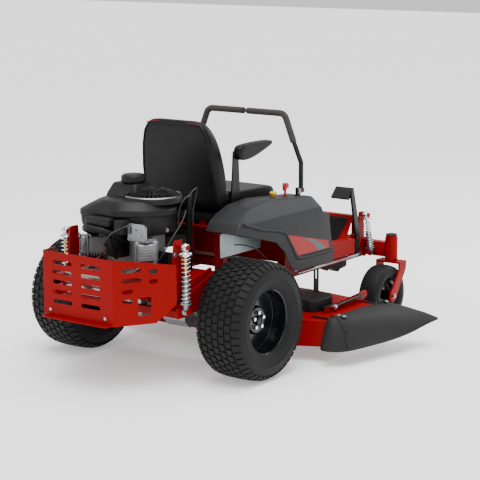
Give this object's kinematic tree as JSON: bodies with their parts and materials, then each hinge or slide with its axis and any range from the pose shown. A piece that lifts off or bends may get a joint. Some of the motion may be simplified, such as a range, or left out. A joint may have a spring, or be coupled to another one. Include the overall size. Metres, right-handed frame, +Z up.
{
  "type": "zero turn mower",
  "caption": "Ride-on zero turn mower: sprung tube frame, rear V-twin engine, hinged seat, lap-bar levers, lifting side-discharge deck, wide rear tyres and trailing front casters.",
  "frame": {"origin": "on the ground under the middle of the rear axle", "axes": "+X to the operator's right, +Y forwards in the driving direction, +Z up"},
  "size_m": [1.661, 2.138, 1.2175],
  "materials": {
    "red_paint": "gloss",
    "black_steel": "satin",
    "fender_plastic": "matte",
    "black_plastic": "satin",
    "chute_rubber": "matte",
    "mat_rubber": "matte",
    "tyre": "matte",
    "rim_paint": "gloss",
    "vinyl": "satin",
    "bare_steel": "brushed",
    "chrome": "polished",
    "cast_aluminium": "cast",
    "tank_plastic": "matte",
    "red_plastic": "gloss",
    "yellow_plastic": "gloss"
  },
  "bodies": {
    "chassis": {"frame_rails": "red_paint", "frame_crossmembers": "red_paint", "shock_towers": "red_paint", "rear_guard": "red_paint", "floor_pan": "red_paint", "floor_mat": "mat_rubber", "seat_box": "red_paint", "side_brackets": "red_paint", "fender_left": "fender_plastic", "fender_right": "fender_plastic", "fuel_tank": "tank_plastic", "crankcase": "cast_aluminium", "cylinders": "cast_aluminium", "valve_covers": "cast_aluminium", "blower_housing": "black_plastic", "air_cleaner": "black_plastic", "muffler": "bare_steel", "engine_fittings": "black_steel", "shock_rods": "chrome", "rear_springs": "chrome", "front_spring_left": "chrome", "front_spring_right": "chrome"},
    "seat": {"seat_pan": "red_paint", "seat_cushion": "vinyl", "seat_back": "vinyl"},
    "lift_pedal": {"lift_pedal": "black_steel"},
    "lift_rod": {"lift_rod": "bare_steel"},
    "throttle": {"throttle_lever": "red_plastic"},
    "blade_switch": {"blade_knob": "yellow_plastic"},
    "cradle": {"rear_cradle": "red_paint", "transaxles": "cast_aluminium"},
    "rear_shocks": {"rear_shock_cylinders": "cast_aluminium"},
    "deck": {"deck_shell": "red_paint", "deck_fittings": "black_steel", "belt_covers": "black_plastic"},
    "chute": {"discharge_chute": "chute_rubber"},
    "engine_rotor": {"crankshaft": "black_steel"},
    "blade_left": {"blade_left": "bare_steel"},
    "blade_centre": {"blade_centre": "bare_steel"},
    "blade_right": {"blade_right": "bare_steel"},
    "armrest_left": {"armrest_left": "vinyl"},
    "control_left": {"control_arm_left": "black_steel"},
    "lever_left": {"lap_bar_left": "black_steel"},
    "wheel_left": {"rear_tyre_left": "tyre", "rear_rim_left": "rim_paint"},
    "front_arm_left": {"front_arm_left": "red_paint"},
    "front_shock_left": {"front_shock_cylinder_left": "cast_aluminium"},
    "caster_left": {"caster_fork_left": "red_paint"},
    "caster_wheel_left": {"caster_tyre_left": "tyre", "caster_rim_left": "rim_paint"},
    "armrest_right": {"armrest_right": "vinyl"},
    "control_right": {"control_arm_right": "black_steel"},
    "lever_right": {"lap_bar_right": "black_steel"},
    "wheel_right": {"rear_tyre_right": "tyre", "rear_rim_right": "rim_paint"},
    "front_arm_right": {"front_arm_right": "red_paint"},
    "front_shock_right": {"front_shock_cylinder_right": "cast_aluminium"},
    "caster_right": {"caster_fork_right": "red_paint"},
    "caster_wheel_right": {"caster_tyre_right": "tyre", "caster_rim_right": "rim_paint"}
  },
  "joints": [
    {"name": "seat_tilt", "type": "hinge", "parent": "chassis", "child": "seat", "pos_m": [0, 0.612, 0.724], "axis": [-1, 0, 0], "range_deg": [0, 20]},
    {"name": "deck_lift", "type": "slide", "parent": "chassis", "child": "deck", "axis": [0, 0, 1], "range_m": [0, 0.064]},
    {"name": "pedal_push", "type": "hinge", "parent": "chassis", "child": "lift_pedal", "pos_m": [0.36, 1.247, 0.475], "axis": [-1, 0, 0], "range_deg": [0, 22]},
    {"name": "lift_rod_pivot", "type": "hinge", "parent": "lift_pedal", "child": "lift_rod", "pos_m": [0.372, 1.243, 0.385], "axis": [-1, 0, 0], "range_deg": [-22, 0]},
    {"name": "throttle_turn", "type": "hinge", "parent": "chassis", "child": "throttle", "pos_m": [0.35, 0.556, 0.77], "axis": [1, 0, 0], "range_deg": [-25, 25]},
    {"name": "blade_switch_pull", "type": "slide", "parent": "chassis", "child": "blade_switch", "axis": [0, 0, 1], "range_m": [0, 0.012]},
    {"name": "cradle_swing", "type": "hinge", "parent": "chassis", "child": "cradle", "pos_m": [0, 0.2, 0.365], "axis": [-1, 0, 0], "range_deg": [0, 6], "stiffness_Nm_per_rad": 4000, "springref_deg": -11.46, "deforming": ["rear_springs"]},
    {"name": "rear_shock_pivot", "type": "hinge", "parent": "cradle", "child": "rear_shocks", "pos_m": [0, -0.303, 0.366], "axis": [-1, 0, 0], "range_deg": [-6, 0]},
    {"name": "engine_spin", "type": "hinge", "parent": "chassis", "child": "engine_rotor", "pos_m": [0, -0.215, 0.5], "axis": [0, 0, 1], "continuous": true},
    {"name": "chute_lift", "type": "hinge", "parent": "deck", "child": "chute", "pos_m": [0.698, 0.69, 0.226], "axis": [0, -1, 0], "range_deg": [0, 75]},
    {"name": "blade_left_spin", "type": "hinge", "parent": "deck", "child": "blade_left", "pos_m": [-0.428, 0.65, 0.1], "axis": [0, 0, 1], "continuous": true},
    {"name": "blade_centre_spin", "type": "hinge", "parent": "deck", "child": "blade_centre", "pos_m": [0.007, 0.758, 0.1], "axis": [0, 0, 1], "continuous": true},
    {"name": "blade_right_spin", "type": "hinge", "parent": "deck", "child": "blade_right", "pos_m": [0.442, 0.65, 0.1], "axis": [0, 0, 1], "continuous": true},
    {"name": "armrest_left_flip", "type": "hinge", "parent": "seat", "child": "armrest_left", "pos_m": [-0.287, 0.265, 1.032], "axis": [1, 0, 0], "range_deg": [0, 80]},
    {"name": "control_left_push", "type": "hinge", "parent": "chassis", "child": "control_left", "pos_m": [-0.35, 0.672, 0.64], "axis": [-1, 0, 0], "range_deg": [-10, 14], "stiffness_Nm_per_rad": 60},
    {"name": "lever_left_swing", "type": "hinge", "parent": "control_left", "child": "lever_left", "pos_m": [-0.35, 0.698, 0.812], "axis": [0, -1, 0], "range_deg": [0, 28]},
    {"name": "wheel_left_spin", "type": "hinge", "parent": "cradle", "child": "wheel_left", "pos_m": [-0.531, 0, 0.292], "axis": [1, 0, 0], "continuous": true},
    {"name": "front_arm_left_swing", "type": "hinge", "parent": "chassis", "child": "front_arm_left", "pos_m": [-0.15, 1.39, 0.4], "axis": [0, 1, 0], "range_deg": [0, 6], "stiffness_Nm_per_rad": 2500, "springref_deg": -8.02, "deforming": ["front_spring_left"]},
    {"name": "front_shock_left_pivot", "type": "hinge", "parent": "front_arm_left", "child": "front_shock_left", "pos_m": [-0.392, 1.331, 0.383], "axis": [0, 1, 0], "range_deg": [-6, 0]},
    {"name": "caster_left_swivel", "type": "hinge", "parent": "front_arm_left", "child": "caster_left", "pos_m": [-0.487, 1.39, 0.4], "axis": [0, 0, 1], "continuous": true},
    {"name": "caster_left_roll", "type": "hinge", "parent": "caster_left", "child": "caster_wheel_left", "pos_m": [-0.487, 1.292, 0.165], "axis": [1, 0, 0], "continuous": true},
    {"name": "armrest_right_flip", "type": "hinge", "parent": "seat", "child": "armrest_right", "pos_m": [0.287, 0.265, 1.032], "axis": [1, 0, 0], "range_deg": [0, 80]},
    {"name": "control_right_push", "type": "hinge", "parent": "chassis", "child": "control_right", "pos_m": [0.35, 0.672, 0.64], "axis": [-1, 0, 0], "range_deg": [-10, 14], "stiffness_Nm_per_rad": 60},
    {"name": "lever_right_swing", "type": "hinge", "parent": "control_right", "child": "lever_right", "pos_m": [0.35, 0.698, 0.812], "axis": [0, 1, 0], "range_deg": [0, 28]},
    {"name": "wheel_right_spin", "type": "hinge", "parent": "cradle", "child": "wheel_right", "pos_m": [0.531, 0, 0.292], "axis": [1, 0, 0], "continuous": true},
    {"name": "front_arm_right_swing", "type": "hinge", "parent": "chassis", "child": "front_arm_right", "pos_m": [0.15, 1.39, 0.4], "axis": [0, -1, 0], "range_deg": [0, 6], "stiffness_Nm_per_rad": 2500, "springref_deg": -8.02, "deforming": ["front_spring_right"]},
    {"name": "front_shock_right_pivot", "type": "hinge", "parent": "front_arm_right", "child": "front_shock_right", "pos_m": [0.392, 1.331, 0.383], "axis": [0, -1, 0], "range_deg": [-6, 0]},
    {"name": "caster_right_swivel", "type": "hinge", "parent": "front_arm_right", "child": "caster_right", "pos_m": [0.487, 1.39, 0.4], "axis": [0, 0, 1], "continuous": true},
    {"name": "caster_right_roll", "type": "hinge", "parent": "caster_right", "child": "caster_wheel_right", "pos_m": [0.487, 1.292, 0.165], "axis": [1, 0, 0], "continuous": true}
  ],
  "couplings": [
    {"joint": "pedal_push", "follows": "deck_lift", "rad_per_m": 5.99},
    {"joint": "lift_rod_pivot", "follows": "deck_lift", "rad_per_m": -5.99},
    {"joint": "rear_shock_pivot", "follows": "cradle_swing", "ratio": -1},
    {"joint": "blade_left_spin", "follows": "engine_spin", "ratio": 0.939},
    {"joint": "blade_centre_spin", "follows": "engine_spin", "ratio": 0.939},
    {"joint": "blade_right_spin", "follows": "engine_spin", "ratio": 0.939},
    {"joint": "front_shock_left_pivot", "follows": "front_arm_left_swing", "ratio": -0.758},
    {"joint": "front_shock_right_pivot", "follows": "front_arm_right_swing", "ratio": -0.758}
  ]
}
